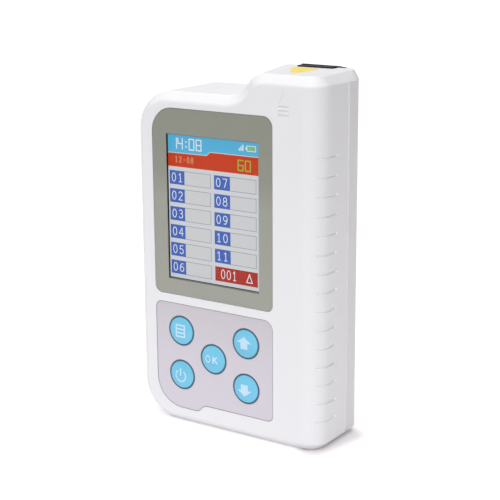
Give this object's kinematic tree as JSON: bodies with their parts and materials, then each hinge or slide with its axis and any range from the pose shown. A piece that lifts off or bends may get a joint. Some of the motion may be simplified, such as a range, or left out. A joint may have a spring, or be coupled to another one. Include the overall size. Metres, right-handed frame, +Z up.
{
  "type": "urine analyzer",
  "caption": "Handheld urine strip analyzer: flat bevelled case, display window, round push keys and a motor-driven strip tray that rises from a slot in the top.",
  "frame": {"origin": "on the surface the base stands on, midway across the case and 15 mm behind its front face", "axes": "+Z up to the tray slot, +X to the right seen from the front, the display and keys face -Y"},
  "size_m": [0.0751, 0.0324, 0.1264],
  "materials": {
    "case_white": "satin",
    "window_clear": "gloss",
    "picture": "gloss",
    "overlay_grey": "satin",
    "key_blue": "satin",
    "tray_white": "satin",
    "cap_black": "satin",
    "pad_white": "matt",
    "board_green": "satin",
    "chip_black": "matt",
    "flex_amber": "satin",
    "foam_grey": "matt",
    "rubber_mat": "matt",
    "frame_steel": "satin",
    "screw_steel": "satin",
    "gear_white": "satin",
    "cell_silver": "satin",
    "lead_red": "satin",
    "label_grey": "matt",
    "led_clear": "gloss"
  },
  "bodies": {
    "case": {"front_shell": "case_white", "rear_shell": "case_white", "display_window": "window_clear", "optical_lens": "window_clear", "display_panel": "picture", "keypad_overlay": "overlay_grey", "tray_chassis": "tray_white", "optical_head": "cap_black", "main_board": "board_green", "optical_board": "board_green", "processor_chip": "chip_black", "buzzer": "chip_black", "tray_sensor": "chip_black", "light_detector": "chip_black", "sensor_header": "chip_black", "display_connector": "chip_black", "display_flex": "flex_amber", "window_gasket": "foam_grey", "battery_pad": "foam_grey", "key_mat": "rubber_mat", "display_frame": "frame_steel", "wireless_module": "frame_steel", "drive_motor": "frame_steel", "usb_socket": "frame_steel", "gear_axle": "frame_steel", "key_switches": "frame_steel", "case_screws": "screw_steel", "board_screws": "screw_steel", "chassis_screws": "screw_steel", "optics_screws": "screw_steel", "battery_socket": "gear_white", "battery_plug": "gear_white", "battery_pack": "cell_silver", "battery_lead": "lead_red", "motor_lead": "lead_red", "rear_label": "label_grey", "light_sources": "led_clear"},
    "tray": {"strip_tray": "tray_white", "tray_end_cap": "cap_black", "reference_pad": "pad_white"},
    "reduction_gear": {"reduction_gear": "gear_white"},
    "motor_gear": {"motor_gear": "gear_white"},
    "menu_key": {"menu_key": "key_blue"},
    "power_key": {"power_key": "key_blue"},
    "ok_key": {"ok_key": "key_blue"},
    "up_key": {"up_key": "key_blue"},
    "down_key": {"down_key": "key_blue"}
  },
  "joints": [
    {"name": "tray_slide", "type": "slide", "parent": "case", "child": "tray", "axis": [0, 0, 1], "range_m": [0, 0.05]},
    {"name": "reduction_spin", "type": "hinge", "parent": "case", "child": "reduction_gear", "pos_m": [0.00775, 0.0127, 0.068], "axis": [0, 1, 0], "range_deg": [-720, 2]},
    {"name": "motor_spin", "type": "hinge", "parent": "case", "child": "motor_gear", "pos_m": [-0.0027, 0.0113, 0.068], "axis": [0, 1, 0], "range_deg": [-5, 2395]},
    {"name": "menu_key_push", "type": "slide", "parent": "case", "child": "menu_key", "axis": [0, 1, 0], "range_m": [0, 0.0005], "stiffness_N_per_m": 1500},
    {"name": "power_key_push", "type": "slide", "parent": "case", "child": "power_key", "axis": [0, 1, 0], "range_m": [0, 0.0005], "stiffness_N_per_m": 1500},
    {"name": "ok_key_push", "type": "slide", "parent": "case", "child": "ok_key", "axis": [0, 1, 0], "range_m": [0, 0.0005], "stiffness_N_per_m": 1500},
    {"name": "up_key_push", "type": "slide", "parent": "case", "child": "up_key", "axis": [0, 1, 0], "range_m": [0, 0.0005], "stiffness_N_per_m": 1500},
    {"name": "down_key_push", "type": "slide", "parent": "case", "child": "down_key", "axis": [0, 1, 0], "range_m": [0, 0.0005], "stiffness_N_per_m": 1500}
  ],
  "couplings": [
    {"joint": "reduction_spin", "follows": "tray_slide", "rad_per_m": -250},
    {"joint": "motor_spin", "follows": "tray_slide", "rad_per_m": 833.33}
  ]
}
